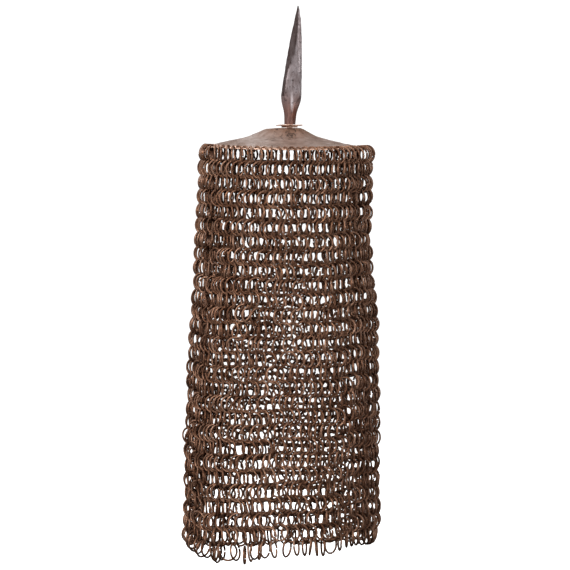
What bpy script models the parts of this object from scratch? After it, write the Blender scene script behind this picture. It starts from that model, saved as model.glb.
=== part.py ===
"""Chainmail coif: a tube of coarse ring mail hung from a low iron crown plate with a forged spike.

Metres, +Z up. The wearer faces -Y. The origin is the flat end of the spike's tang, under the plate,
where the coif bears on the top of the head. Angles round the tube run from the front to the right.
"""

from collections import namedtuple
from math import cos, pi, radians, sin, sqrt

import bmesh
import bpy
from mathutils import Vector

MM = 0.001
GAP = 0.3 * MM

# The net
RING_RADIUS = 8.60 * MM
WIRE_RADIUS = 1.05 * MM
RING_COLUMNS = 74
RING_ROWS = 28
FIRST_ROW_HEIGHT = -22.0 * MM
ROW_PITCH = 14.00 * MM
PITCH_LOSS_RIGHT = 0.10 * MM
PITCH_GAIN_FRONT_BACK = 0.17 * MM
PITCH_GAIN_BACK = 0.39 * MM
LEFT_FRONT_SAG = 0.43 * MM
SAG_BELOW_ROW = 8
RIM_TILT = 0.65 * MM
RIM_SADDLE = 1.7 * MM
LEAST_TURN = radians(10)
LEAST_RIM_TURN = radians(38)
HEM_TURN = radians(80)
HEM_TURN_SWING = radians(48)
HEM_DEPTH = -1.5 * MM
MOST_TURN = radians(75)
MOST_SPOKE_SINE = 0.95
TURN_HALVINGS = 30

# The wall that stands for the net: ridged outside, one ridge for each row of rings, plain inside
NET_DEPTH_AT_LINKS = 4.1 * MM
NET_DEPTH_INSIDE = 6.2 * MM
RIDGE_SHOULDER_DEPTH = 6.7 * MM
RIDGE_SHOULDERS = (0.28, 0.72)
TUBE_SIDES = 32
TUBE_START = 0.5
INNER_SECTIONS = 6
WAVE_3 = 1.4 * MM
WAVE_5 = 0.9 * MM
WAVES_FULL_BELOW = 0.16
EASED_SHARE = 0.5

# The strips that root the rim rings and the hem rings
STRIP_HALF_HEIGHT = 2.4 * MM
STRIP_DEPTH = 4.3 * MM
LOOP_WIRE_SIDES = 3
LOOP_WIRE_RADIUS = 1.25 * MM
HEM_LOOP_REACH = radians(158)
HEM_LOOP_STEPS = 8
RIM_LOOP_ROOT = radians(32)
RIM_LOOP_END = radians(196)
RIM_LOOP_STEPS = 5

# The crown plate
PLATE_THICKNESS = 1.2 * MM
PLATE_RADIUS = 81.0 * MM
PLATE_SIDES = 36
RIM_TOP_HEIGHT = -15.2 * MM

# The spike and its collar
TANG_X = 2.8 * MM
TANG_RADIUS = 3.0 * MM
COLLAR_TOP = 7.2 * MM
COLLAR_SIDES = 20
PLATE_CENTRE_TOP = 3.9 * MM

MailSection = namedtuple("MailSection", "height radius shift_x")
MAIL_SECTIONS = (
    MailSection(-0.012, 0.0808, 0.0000),
    MailSection(-0.040, 0.0806, -0.0015),
    MailSection(-0.080, 0.0806, -0.0031),
    MailSection(-0.130, 0.0820, -0.0032),
    MailSection(-0.190, 0.0866, -0.0035),
    MailSection(-0.250, 0.0898, -0.0033),
    MailSection(-0.320, 0.0910, -0.0052),
    MailSection(-0.390, 0.0926, -0.0064),
    MailSection(-0.430, 0.0926, -0.0072),
)

PlateSection = namedtuple("PlateSection", "radius height shift_x tilt_share")
PLATE_SECTIONS = (
    PlateSection(TANG_RADIUS + GAP, PLATE_CENTRE_TOP, TANG_X, 0.0),
    PlateSection(0.0120, PLATE_CENTRE_TOP, 0.0015, 0.0),
    PlateSection(0.0190, 0.0026, -0.0015, 0.0),
    PlateSection(0.0274, -0.0012, -0.0032, 0.1),
    PlateSection(0.0333, -0.0041, -0.0036, 0.2),
    PlateSection(0.0400, -0.0062, -0.0046, 0.3),
    PlateSection(0.0557, -0.0099, -0.0060, 0.5),
    PlateSection(0.0690, -0.0127, -0.0040, 0.8),
    PlateSection(0.0770, -0.0144, -0.0010, 1.0),
    PlateSection(PLATE_RADIUS, RIM_TOP_HEIGHT, 0.0000, 1.0),
)

# Each section of the spike is an eight-sided outline: two edges and a flat face in front and behind
SpikeSection = namedtuple("SpikeSection", "height x half_width half_depth face_left face_right edge")
SPIKE_SECTIONS = (
    SpikeSection(0.0000, 0.0028, 0.0045, 0.0045, 0.0019, 0.0019, 0.0019),
    SpikeSection(0.0009, 0.0028, 0.0056, 0.0056, 0.0023, 0.0023, 0.0023),
    SpikeSection(0.0024, 0.0028, 0.0056, 0.0056, 0.0023, 0.0023, 0.0023),
    SpikeSection(0.00242, 0.0028, 0.0030, 0.0030, 0.00124, 0.00124, 0.00124),
    SpikeSection(0.00748, 0.0028, 0.0030, 0.0030, 0.00124, 0.00124, 0.00124),
    SpikeSection(0.0075, 0.0032, 0.0056, 0.0048, 0.0020, 0.0020, 0.0018),
    SpikeSection(0.0130, 0.0034, 0.0057, 0.0047, 0.0018, 0.0018, 0.0016),
    SpikeSection(0.0198, 0.0037, 0.0066, 0.0045, 0.0018, 0.0020, 0.0012),
    SpikeSection(0.0278, 0.0043, 0.0090, 0.0040, 0.0026, 0.0026, 0.0007),
    SpikeSection(0.0348, 0.0044, 0.0103, 0.0033, 0.0062, 0.0082, 0.0006),
    SpikeSection(0.0418, 0.0050, 0.0099, 0.0031, 0.0062, 0.0078, 0.0005),
    SpikeSection(0.0588, 0.0065, 0.0087, 0.0028, 0.0052, 0.0064, 0.0005),
    SpikeSection(0.0770, 0.0080, 0.0074, 0.0026, 0.0034, 0.0042, 0.0004),
    SpikeSection(0.0953, 0.0096, 0.0055, 0.0023, 0.0006, 0.0016, 0.0004),
    SpikeSection(0.1122, 0.0110, 0.0032, 0.0016, 0.0003, 0.0006, 0.0003),
    SpikeSection(0.1205, 0.0114, 0.0017, 0.0009, 0.0002, 0.0003, 0.0002),
    SpikeSection(0.1258, 0.0113, 0.0004, 0.0003, 0.0001, 0.0001, 0.0001),
)

ProfilePoint = namedtuple("ProfilePoint", "radius height")
COLLAR_PROFILE = (
    ProfilePoint(0.0128, COLLAR_TOP - 0.1 * MM),
    ProfilePoint(0.0131, COLLAR_TOP - 0.6 * MM),
    ProfilePoint(0.0127, COLLAR_TOP - 1.1 * MM),
    ProfilePoint(0.0084, COLLAR_TOP - 1.2 * MM),
    ProfilePoint(0.0080, PLATE_CENTRE_TOP + GAP),
    ProfilePoint(TANG_RADIUS + GAP, PLATE_CENTRE_TOP + GAP),
    ProfilePoint(TANG_RADIUS + GAP, COLLAR_TOP),
)

MAIL_IRON = ("mail_iron", (0.075, 0.048, 0.036, 1.0), 0.62)
PLATE_IRON = ("plate_iron", (0.24, 0.18, 0.15, 1.0), 0.55)
SPIKE_IRON = ("spike_iron", (0.17, 0.14, 0.14, 1.0), 0.45)
METALLIC = 0.75
SMOOTH_BELOW = radians(50)
FORGED_SMOOTH_BELOW = radians(20)


def clear_scene():
    for obj in list(bpy.data.objects):
        bpy.data.objects.remove(obj, do_unlink=True)


def new_collection(name):
    collection = bpy.data.collections.new(name)
    bpy.context.scene.collection.children.link(collection)
    return collection


def new_material(name, colour, roughness):
    material = bpy.data.materials.new(name)
    material.use_nodes = True
    shader = material.node_tree.nodes["Principled BSDF"]
    shader.inputs["Base Color"].default_value = colour
    shader.inputs["Roughness"].default_value = roughness
    shader.inputs["Metallic"].default_value = METALLIC
    return material


def add_object(name, bm, collection, material=None, smooth_below=SMOOTH_BELOW):
    if all(edge.is_manifold for edge in bm.edges):
        bmesh.ops.recalc_face_normals(bm, faces=bm.faces)
    mesh = bpy.data.meshes.new(name)
    bm.to_mesh(mesh)
    bm.free()
    mesh.shade_smooth()
    mesh.set_sharp_from_angle(angle=smooth_below)
    obj = bpy.data.objects.new(name, mesh)
    collection.objects.link(obj)
    if material:
        mesh.materials.append(material)
    return obj


def between_sections(height, column):
    """One column of the mail's table at a height, eased from row to row."""
    rows = MAIL_SECTIONS
    if height >= rows[0].height:
        return getattr(rows[0], column)
    for upper, lower in zip(rows, rows[1:]):
        if height >= lower.height:
            share = (upper.height - height) / (upper.height - lower.height)
            smooth = share * share * (3 - 2 * share)
            share += (smooth - share) * EASED_SHARE
            start = getattr(upper, column)
            return start + (getattr(lower, column) - start) * share
    return getattr(rows[-1], column)


def rim_drop(angle):
    """How far the plate's rim lies below its mean height: lower on the right, in front and behind."""
    return RIM_TILT * sin(angle) + RIM_SADDLE * cos(angle) ** 2


def row_height(row, angle):
    """Height of a ring row's centre line. Row 1 hangs from the plate's rim."""
    pitch = ROW_PITCH - PITCH_LOSS_RIGHT * sin(angle) + PITCH_GAIN_FRONT_BACK * cos(angle) ** 2
    pitch += PITCH_GAIN_BACK * ((1 - cos(angle)) / 2) ** 2
    sag = 0.0
    if sin(angle) < 0 < cos(angle):
        sag = LEFT_FRONT_SAG * sin(2 * angle) ** 2 * max(0.0, row - SAG_BELOW_ROW)
    return FIRST_ROW_HEIGHT - rim_drop(angle) - (row - 1) * pitch - sag


def net_point(angle, height, depth=0.0):
    """A point of the net's middle surface, moved outwards by depth."""
    waves = WAVE_3 * cos(3 * angle) + WAVE_5 * cos(5 * angle)
    waves *= min(1.0, max(0.0, -height / WAVES_FULL_BELOW))
    radius = between_sections(height, "radius") + waves + depth
    shift = between_sections(height, "shift_x")
    return Vector((shift + radius * sin(angle), -radius * cos(angle), height))


def loft(bm, loops):
    """Quads between each loop of vertices and the next. All loops have the same count."""
    for first, second in zip(loops, loops[1:]):
        for index in range(len(first)):
            after = (index + 1) % len(first)
            bm.faces.new((first[index], first[after], second[after], second[index]))


def ridge_levels():
    """(row, drop, depth) down the wall, from under the rim strip to above the hem strip."""
    clear_of_strip = STRIP_HALF_HEIGHT + GAP
    levels = [(1.5, clear_of_strip, NET_DEPTH_AT_LINKS)]
    for row in range(2, RING_ROWS):
        for place in RIDGE_SHOULDERS:
            levels.append((row - 0.5 + place, 0.0, RIDGE_SHOULDER_DEPTH))
        levels.append((row + 0.5, 0.0, NET_DEPTH_AT_LINKS))
    levels[-1] = (RING_ROWS - 0.5, -clear_of_strip, NET_DEPTH_AT_LINKS)
    return levels


def wall_loop(bm, row, drop, depth):
    loop = []
    for side in range(TUBE_SIDES):
        angle = 2 * pi * (side + TUBE_START) / TUBE_SIDES
        loop.append(bm.verts.new(net_point(angle, row_height(row, angle) - drop, depth)))
    return loop


def make_mail_wall(name, keep_front, collection, material):
    """Half of the net's tube: the front or the back, cut GAP apart at the sides."""
    bm = bmesh.new()
    levels = ridge_levels()
    outside = [wall_loop(bm, *level) for level in levels]
    (top_row, top_drop, _), (bottom_row, bottom_drop, _) = levels[0], levels[-1]
    inside = []
    for section in range(INNER_SECTIONS + 1):
        share = section / INNER_SECTIONS
        row = bottom_row + (top_row - bottom_row) * share
        drop = bottom_drop + (top_drop - bottom_drop) * share
        inside.append(wall_loop(bm, row, drop, -NET_DEPTH_INSIDE))
    loft(bm, outside + inside + outside[:1])
    side = -1 if keep_front else 1
    everything = bm.verts[:] + bm.edges[:] + bm.faces[:]
    bmesh.ops.bisect_plane(
        bm,
        geom=everything,
        plane_co=(0, side * GAP / 2, 0),
        plane_no=(0, -side, 0),
        clear_outer=True,
    )
    open_edges = [edge for edge in bm.edges if edge.is_boundary]
    bmesh.ops.holes_fill(bm, edges=open_edges, sides=0)
    return add_object(name, bm, collection, material)


def ring_turn(column_pitch, row_pitch):
    """How far a ring turns from facing outwards, so that its links hold this pitch."""
    low, high = LEAST_TURN, MOST_TURN
    for _ in range(TURN_HALVINGS):
        turn = (low + high) / 2
        sine = min(MOST_SPOKE_SINE, column_pitch / (4 * RING_RADIUS * cos(turn)))
        cosine = sqrt(1 - sine * sine)
        clearance = 2 * WIRE_RADIUS * sqrt(1 + (sine / (cosine * cos(turn))) ** 2)
        if 2 * RING_RADIUS * cosine - clearance > row_pitch:
            low = turn
        else:
            high = turn
    return turn


def ring_frame(row, column):
    """Centre, in-plane direction and normal of one ring. Rows lean to the left and right by turns."""
    angle = 2 * pi * (column + 0.5 * (row % 2)) / RING_COLUMNS
    height = row_height(row, angle)
    centre = net_point(angle, height)
    column_pitch = 2 * pi * between_sections(height, "radius") / RING_COLUMNS
    turn = ring_turn(column_pitch, row_height(row, angle) - row_height(row + 1, angle))
    if row == 1:
        turn = max(turn, LEAST_RIM_TURN)
    if row == RING_ROWS:
        turn = HEM_TURN - HEM_TURN_SWING * sin(angle)
        centre = net_point(angle, height, HEM_DEPTH)
    along = Vector((cos(angle), sin(angle), 0))
    outwards = Vector((sin(angle), -cos(angle), 0))
    lean = -1 if row % 2 else 1
    direction = along * cos(turn) - outwards * sin(turn) * lean
    return centre, direction, direction.cross(Vector((0, 0, 1)))


def add_wire(bm, centre, direction, normal, steps):
    """Part of a ring as a closed tube. Each step is an angle from the ring's lowest point."""
    loops = []
    for step in steps:
        spoke = direction * sin(step) - Vector((0, 0, cos(step)))
        middle = centre + spoke * RING_RADIUS
        loop = []
        for side in range(LOOP_WIRE_SIDES):
            around = 2 * pi * side / LOOP_WIRE_SIDES
            offset = spoke * cos(around) + normal * sin(around)
            loop.append(bm.verts.new(middle + offset * LOOP_WIRE_RADIUS))
        loops.append(loop)
    loft(bm, loops)
    bm.faces.new(loops[0])
    bm.faces.new(loops[-1])


def make_strip(name, row, collection, material):
    """A narrow band along the links between a row of rings and the next."""
    bm = bmesh.new()
    corners = (
        (STRIP_HALF_HEIGHT, STRIP_DEPTH),
        (-STRIP_HALF_HEIGHT, STRIP_DEPTH),
        (-STRIP_HALF_HEIGHT, -STRIP_DEPTH),
        (STRIP_HALF_HEIGHT, -STRIP_DEPTH),
    )
    loops = []
    for rise, depth in corners:
        loop = []
        for side in range(TUBE_SIDES):
            angle = 2 * pi * (side + TUBE_START) / TUBE_SIDES
            height = row_height(row + 0.5, angle) + rise
            loop.append(bm.verts.new(net_point(angle, height, depth)))
        loops.append(loop)
    loft(bm, loops + loops[:1])
    return add_object(name, bm, collection, material)


def fuse_loops(strip, bm, cutters):
    loops = add_object(strip.name + "_loops", bm, cutters)
    loops.hide_render = True
    loops.display_type = "WIRE"
    union = strip.modifiers.new("Fuse loops", "BOOLEAN")
    union.operation = "UNION"
    union.solver = "EXACT"
    union.object = loops


def steps_between(first, last, count):
    return [first + (last - first) * index / count for index in range(count + 1)]


def make_hem_rings(collection, cutters, material):
    """The last row of rings, hanging free: a loop for each ring, rooted in a strip at its links."""
    strip = make_strip("hem_rings", RING_ROWS - 1, collection, material)
    bm = bmesh.new()
    steps = steps_between(-HEM_LOOP_REACH, HEM_LOOP_REACH, HEM_LOOP_STEPS)
    for column in range(RING_COLUMNS):
        add_wire(bm, *ring_frame(RING_ROWS, column), steps)
    fuse_loops(strip, bm, cutters)


def make_rim_rings(collection, cutters, material):
    """The first row of rings: each arches over the plate's rim from a strip at the links below."""
    strip = make_strip("rim_rings", 1, collection, material)
    bm = bmesh.new()
    steps = steps_between(RIM_LOOP_ROOT, RIM_LOOP_END, RIM_LOOP_STEPS)
    for column in range(RING_COLUMNS):
        add_wire(bm, *ring_frame(1, column), steps)
    fuse_loops(strip, bm, cutters)


def make_crown_plate(collection, material):
    """A low hand-beaten cone of iron sheet with a flat centre and a hole for the tang."""
    bm = bmesh.new()
    loops = []
    for section in reversed(PLATE_SECTIONS):
        loop = []
        for side in range(PLATE_SIDES):
            angle = 2 * pi * side / PLATE_SIDES
            drop = section.tilt_share * rim_drop(angle)
            x = section.shift_x + section.radius * sin(angle)
            y = -section.radius * cos(angle)
            loop.append(bm.verts.new((x, y, section.height - drop)))
        loops.append(loop)
    loft(bm, loops)
    plate = add_object("crown_plate", bm, collection, material)
    shell = plate.modifiers.new("Sheet", "SOLIDIFY")
    shell.thickness = PLATE_THICKNESS
    shell.offset = -1
    shell.use_even_offset = True
    return plate


def make_spike(collection, material):
    """One forging: the blade, its neck, the tang through the plate and the tang's peened end."""
    bm = bmesh.new()
    loops = []
    for row in SPIKE_SECTIONS:
        outline = (
            (-row.half_width, -row.edge),
            (-row.face_left, -row.half_depth),
            (row.face_right, -row.half_depth),
            (row.half_width, -row.edge),
            (row.half_width, row.edge),
            (row.face_right, row.half_depth),
            (-row.face_left, row.half_depth),
            (-row.half_width, row.edge),
        )
        loops.append([bm.verts.new((row.x + x, y, row.height)) for x, y in outline])
    loft(bm, loops)
    bm.faces.new(loops[0])
    bm.faces.new(loops[-1])
    return add_object("spike", bm, collection, material, FORGED_SMOOTH_BELOW)


def make_collar(collection, material):
    """The washer under the spike: a thin flange on a short hub."""
    bm = bmesh.new()
    points = [bm.verts.new((point.radius, 0, point.height)) for point in COLLAR_PROFILE]
    for first, second in zip(points, points[1:] + points[:1]):
        bm.edges.new((first, second))
    mesh = bpy.data.meshes.new("collar")
    bm.to_mesh(mesh)
    bm.free()
    mesh.materials.append(material)
    collar = bpy.data.objects.new("collar", mesh)
    collar.location.x = TANG_X
    collection.objects.link(collar)
    turn = collar.modifiers.new("Turn", "SCREW")
    turn.steps = COLLAR_SIDES
    turn.render_steps = COLLAR_SIDES
    turn.use_merge_vertices = True
    turn.merge_threshold = 0.01 * MM
    return collar


def main():
    clear_scene()
    parts = new_collection("chainmail_coif")
    cutters = new_collection("cutters")
    mail_iron = new_material(*MAIL_IRON)
    plate_iron = new_material(*PLATE_IRON)
    spike_iron = new_material(*SPIKE_IRON)
    make_crown_plate(parts, plate_iron)
    make_collar(parts, plate_iron)
    make_spike(parts, spike_iron)
    make_rim_rings(parts, cutters, mail_iron)
    make_mail_wall("mail_front", True, parts, mail_iron)
    make_mail_wall("mail_back", False, parts, mail_iron)
    make_hem_rings(parts, cutters, mail_iron)


main()
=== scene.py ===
"""Looks of the chainmail coif: butted iron rings linked four to one, a hammered crown plate with a
hole for each ring of the first row, a forged spike and a thin washer.

Metres, +Z up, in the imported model's frame. The front faces -Y. Angles round the tube run from the
front to the right. Rings are counted in rows from the plate down and in columns round the tube.
"""

from collections import namedtuple
from math import atan2, cos, hypot, pi, radians, sin, sqrt

import bpy
import numpy as np
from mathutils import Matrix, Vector, noise


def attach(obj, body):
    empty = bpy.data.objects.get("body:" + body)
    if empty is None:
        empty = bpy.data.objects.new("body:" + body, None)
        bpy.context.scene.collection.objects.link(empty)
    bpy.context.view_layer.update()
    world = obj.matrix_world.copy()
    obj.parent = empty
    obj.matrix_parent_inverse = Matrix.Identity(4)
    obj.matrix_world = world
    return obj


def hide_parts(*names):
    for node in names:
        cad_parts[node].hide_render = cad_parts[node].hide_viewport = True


MM = 0.001
SEED = 1739
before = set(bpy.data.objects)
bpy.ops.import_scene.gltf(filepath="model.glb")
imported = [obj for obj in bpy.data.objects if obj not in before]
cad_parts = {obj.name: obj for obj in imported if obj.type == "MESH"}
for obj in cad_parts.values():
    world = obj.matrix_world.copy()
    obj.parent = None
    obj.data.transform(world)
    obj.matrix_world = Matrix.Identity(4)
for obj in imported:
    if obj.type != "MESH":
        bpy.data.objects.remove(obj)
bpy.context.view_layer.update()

# The net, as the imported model's walls stand for it
RING_RADIUS = 8.60 * MM
WIRE_RADIUS = 1.05 * MM
RING_COLUMNS = 74
RING_ROWS = 28
FIRST_ROW_HEIGHT = -22.0 * MM
ROW_PITCH = 14.00 * MM
PITCH_LOSS_RIGHT = 0.10 * MM
PITCH_GAIN_FRONT_BACK = 0.17 * MM
PITCH_GAIN_BACK = 0.39 * MM
LEFT_FRONT_SAG = 0.43 * MM
SAG_BELOW_ROW = 8
RIM_TILT = 0.65 * MM
RIM_SADDLE = 1.7 * MM
LEAST_TURN = radians(10)
LEAST_RIM_TURN = radians(38)
MOST_TURN = radians(75)
MOST_SPOKE_SINE = 0.95
TURN_HALVINGS = 30
WAVE_3 = 1.4 * MM
WAVE_5 = 0.9 * MM
WAVES_FULL_BELOW = 0.16
EASED_SHARE = 0.5

MailSection = namedtuple("MailSection", "height radius shift_x")
MAIL_SECTIONS = (
    MailSection(-0.012, 0.0808, 0.0000),
    MailSection(-0.040, 0.0806, -0.0015),
    MailSection(-0.080, 0.0806, -0.0031),
    MailSection(-0.130, 0.0820, -0.0032),
    MailSection(-0.190, 0.0866, -0.0035),
    MailSection(-0.250, 0.0898, -0.0033),
    MailSection(-0.320, 0.0910, -0.0052),
    MailSection(-0.390, 0.0926, -0.0064),
    MailSection(-0.430, 0.0926, -0.0072),
)

# How unevenly the net hangs
DRIFT_ROUND = 1.2
DRIFT_ROUND_SCALE = (3.0, 0.20)
DRIFT_ROUND_SEED = 11.0
DRIFT_ROUND_RIM_SHARE = 0.25
COLUMN_PHASE = 0.25
HELD_ROWS = 3
CROWDING = 0.5
CROWDED_AT = radians(-32)
CROWDED_BELOW_ROW = 12
CROWDED_OVER_ROWS = 8
DRIFT_DOWN = 4.0 * MM
DRIFT_DOWN_SCALE = (2.6, 0.05)
DRIFT_DOWN_SEED = 23.0
DRIFT_DOWN_ROWS = 9
DRIFT_DEPTH = 2.2 * MM
DRIFT_DEPTH_SCALE = (3.1, 0.21)
DRIFT_DEPTH_SEED = 37.0
TURN_SPREAD = radians(8)
TILT_SPREAD = radians(4)
PLACE_SPREAD = 0.5 * MM
RIM_TURN_SPREAD = radians(3)
RIM_TURN_DRIFT = radians(50)
RIM_TURN_DRIFT_SCALE = (6.5, 0.0)
RIM_TURN_SEED = 51.0
RIM_TURN_EASE_RIGHT = radians(7)
RIM_TURN_EASE_BACK = radians(12)
RIM_CLEAR_TURN = radians(20)
HEM_TURN = radians(80)
HEM_TURN_SWING = radians(48)
HEM_TURN_SPREAD = radians(9)
HEM_DEPTH = -1.5 * MM
FACE_ON_TURN = radians(12)
FACE_ON_HEM_COLUMNS = (7, 21, 34, 48, 55, 67)
OPEN_HEM_COLUMN = 70

# How the rings settle on each other
SETTLE_ROUNDS = 130
SETTLE_SAMPLES = 24
CONTACTS_A_PAIR = 2
NEAREST_ROUNDS = 4
SAME_CONTACT = 5
FAR_SQUARE = 1.0
TINY = 1e-9
CONTACT_DISTANCE = 2 * WIRE_RADIUS + 0.04 * MM
SAG = 0.03 * MM
PULL_TO_PLACE = 0.03
PULL_TO_TURN = 0.06
PUSH = 1.5
MOST_SETTLE_TURN = 0.06
# A ring's move, its turn and its number of contacts
MOVE_COLUMNS = 7

# One ring as it is drawn
RING_SEGMENTS = 28
WIRE_SIDES = 6
BUTT_GAP_LEAST = radians(1.5)
BUTT_GAP_MOST = radians(9)
OPEN_BUTT_GAP = radians(62)
OPEN_BUTT_PLACE = radians(62)
BUTT_PLACES = (radians(90), radians(270))
BUTT_PLACE_SPREAD = radians(28)
SPRING_SPREAD = 0.35 * MM
OVAL_SPREAD = 0.013
WIRE_SHARP_ANGLE = radians(70)

# The crown plate
PLATE_THICKNESS = 1.2 * MM
PLATE_RADIUS = 81.0 * MM
RIM_TOP_HEIGHT = -15.2 * MM
TANG_X = 2.8 * MM
TANG_RADIUS = 3.0 * MM
GAP = 0.3 * MM
PLATE_CENTRE_TOP = 3.9 * MM
HOLE_BAND = (73.4 * MM, 79.6 * MM)
HOLE_BAND_CELLS = 4
HOLE_HALF_LENGTH = 2.5 * MM
HOLE_HALF_WIDTH = 1.45 * MM
HOLE_SEARCH_ROUNDS = 5
PLATE_SEARCH_ROUNDS = 3
PLATE_INNER_RINGS = 26
PLATE_RING_CROWDING = 0.9
PLATE_EDGE_LOOP = 80.5 * MM
PLATE_SHARP_ANGLE = radians(45)
BEATEN_FROM = 13 * MM
BEATEN_FADE_IN = 8 * MM
BEATEN_FADE_OUT = 12 * MM
BEATEN_WIDE = 1.0 * MM
BEATEN_WIDE_SCALE = 62
BEATEN_FINE = 0.45 * MM
BEATEN_FINE_SCALE = 150
PLATE_WAVES = 0.12 * MM
PLATE_WAVE_SCALE = 90

PlateSection = namedtuple("PlateSection", "radius height shift_x tilt_share")
PLATE_SECTIONS = (
    PlateSection(TANG_RADIUS + GAP, PLATE_CENTRE_TOP, TANG_X, 0.0),
    PlateSection(0.0120, PLATE_CENTRE_TOP, 0.0015, 0.0),
    PlateSection(0.0190, 0.0026, -0.0015, 0.0),
    PlateSection(0.0274, -0.0012, -0.0032, 0.1),
    PlateSection(0.0333, -0.0041, -0.0036, 0.2),
    PlateSection(0.0400, -0.0062, -0.0046, 0.3),
    PlateSection(0.0557, -0.0099, -0.0060, 0.5),
    PlateSection(0.0690, -0.0127, -0.0040, 0.8),
    PlateSection(0.0770, -0.0144, -0.0010, 1.0),
    PlateSection(PLATE_RADIUS, RIM_TOP_HEIGHT, 0.0000, 1.0),
)

# Each section of the spike is an eight-sided outline: two edges and a flat face in front and behind
SpikeSection = namedtuple("SpikeSection", "height x half_width half_depth face_left face_right edge")
SPIKE_SECTIONS = (
    SpikeSection(0.0000, 0.0028, 0.0045, 0.0045, 0.0019, 0.0019, 0.0019),
    SpikeSection(0.0009, 0.0028, 0.0056, 0.0056, 0.0023, 0.0023, 0.0023),
    SpikeSection(0.0024, 0.0028, 0.0056, 0.0056, 0.0023, 0.0023, 0.0023),
    SpikeSection(0.00242, 0.0028, 0.0030, 0.0030, 0.00124, 0.00124, 0.00124),
    SpikeSection(0.00748, 0.0028, 0.0030, 0.0030, 0.00124, 0.00124, 0.00124),
    SpikeSection(0.0075, 0.0032, 0.0056, 0.0048, 0.0020, 0.0020, 0.0018),
    SpikeSection(0.0130, 0.0034, 0.0057, 0.0047, 0.0018, 0.0018, 0.0016),
    SpikeSection(0.0198, 0.0037, 0.0066, 0.0045, 0.0018, 0.0020, 0.0012),
    SpikeSection(0.0278, 0.0043, 0.0090, 0.0040, 0.0026, 0.0026, 0.0007),
    SpikeSection(0.0348, 0.0044, 0.0103, 0.0033, 0.0062, 0.0082, 0.0006),
    SpikeSection(0.0418, 0.0050, 0.0099, 0.0031, 0.0062, 0.0078, 0.0005),
    SpikeSection(0.0588, 0.0065, 0.0087, 0.0028, 0.0052, 0.0064, 0.0005),
    SpikeSection(0.0770, 0.0080, 0.0074, 0.0026, 0.0034, 0.0042, 0.0004),
    SpikeSection(0.0953, 0.0096, 0.0055, 0.0023, 0.0006, 0.0016, 0.0004),
    SpikeSection(0.1122, 0.0110, 0.0032, 0.0016, 0.0003, 0.0006, 0.0003),
    SpikeSection(0.1205, 0.0114, 0.0017, 0.0009, 0.0002, 0.0003, 0.0002),
    SpikeSection(0.1258, 0.0113, 0.0004, 0.0003, 0.0001, 0.0001, 0.0001),
)
SPIKE_LEVELS = 150
CORNER_SHARES = (0.09, 0.36, 0.64, 0.91)
SPIKE_CORNERS = 8
SPIKE_SHARP_ANGLE = radians(38)
SPIKE_BLUR = 1.3 * MM
SPIKE_BLUR_FROM = 9.5 * MM
SPIKE_BLUR_TO = 120 * MM
BEVEL_FROM = 36 * MM
# Painted shade: dark on the left bevel, widening near the tip to the blade's left half.
SHADE_WIDE_FROM = 62 * MM
SHADE_WIDE_AT = 82 * MM
SHADE_WIDE_EDGE = 1.2 * MM
SHADE_FADE = 0.8 * MM
# Painted highlight: a pale band along the blade's right edge, fading out towards the tip.
HIGHLIGHT_EDGE_WIDTH = 2.2 * MM
HIGHLIGHT_EDGE_TO = 94 * MM
HIGHLIGHT_EDGE_FADE = 20 * MM
DENT_DEPTH = 0.32 * MM
DENT_SCALE = 190
PIT_DEPTH = 0.14 * MM
PIT_SCALE = 620
DENTED_BEYOND = 2.5 * MM

ProfilePoint = namedtuple("ProfilePoint", "radius height")
COLLAR_TOP = 7.2 * MM
COLLAR_PROFILE = (
    ProfilePoint(TANG_RADIUS + GAP, COLLAR_TOP),
    ProfilePoint(0.0080, COLLAR_TOP),
    ProfilePoint(0.0126, COLLAR_TOP - 0.05 * MM),
    ProfilePoint(0.0130, COLLAR_TOP - 0.25 * MM),
    ProfilePoint(0.0131, COLLAR_TOP - 0.60 * MM),
    ProfilePoint(0.0129, COLLAR_TOP - 0.95 * MM),
    ProfilePoint(0.0125, COLLAR_TOP - 1.10 * MM),
    ProfilePoint(0.0086, COLLAR_TOP - 1.20 * MM),
    ProfilePoint(0.0081, COLLAR_TOP - 1.60 * MM),
    ProfilePoint(0.0080, PLATE_CENTRE_TOP + GAP),
    ProfilePoint(TANG_RADIUS + GAP, PLATE_CENTRE_TOP + GAP),
)
COLLAR_SIDES = 96
COLLAR_SHARP_ANGLE = radians(40)
FLANGE_FROM = 8.2 * MM
FLANGE_WIDTH = 4.9 * MM
FLANGE_NOISE_RADIUS = 3
FLANGE_NOISE_HEIGHT = 0.4
EDGE_WEAR = 0.9 * MM
EDGE_NICKS = 0.35 * MM
EDGE_NICK_SCALE = 4
FLANGE_BEND = 0.7 * MM
FLANGE_BEND_SCALE = 0.55
FLANGE_BEND_PLACE = Vector((0, 0, 5))

# Camera, stage and lights
CAMERA_DISTANCE = 3.6
CAMERA_X = -1.7 * MM
CAMERA_HEIGHT = 0.0
AIM_HEIGHT = -0.1532
VIEW_WIDTH = 0.570
SENSOR_WIDTH = 36.0
VIEW_DEPTH = 50.0
FLOOR_HEIGHT = -0.62
FLOOR_RADIUS = 5.0
FLOOR_SIDES = 128
FLOOR_COLOUR = (0.85, 0.85, 0.85, 1.0)
FLOOR_GLOW = 1.1
DOME_RADIUS = 7.0
DOME_SEGMENTS = 64
DOME_RINGS = 32
DOME_COLOUR = (0.0, 0.0, 0.0, 1.0)
DOME_GLOW = 1.15
STAGE_ROUGHNESS = 0.9
WHITE = (1.0, 1.0, 1.0, 1.0)
WORLD_STRENGTH = 0.034
LIGHT_AIM = Vector((0.0, 0.0, -0.17))

Light = namedtuple("Light", "name location size power")
LIGHTS = (
    Light("key", (-1.9, -2.6, 1.5), 1.3, 196),
    Light("fill", (2.3, -2.4, 0.5), 1.6, 76),
    Light("top", (0.1, 0.5, 2.4), 1.6, 40),
    Light("back_left", (-1.9, 2.6, 0.9), 1.8, 42),
    Light("back_right", (2.2, 2.4, 0.3), 1.8, 36),
)


def clamp(value):
    return min(1.0, max(0.0, value))


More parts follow.
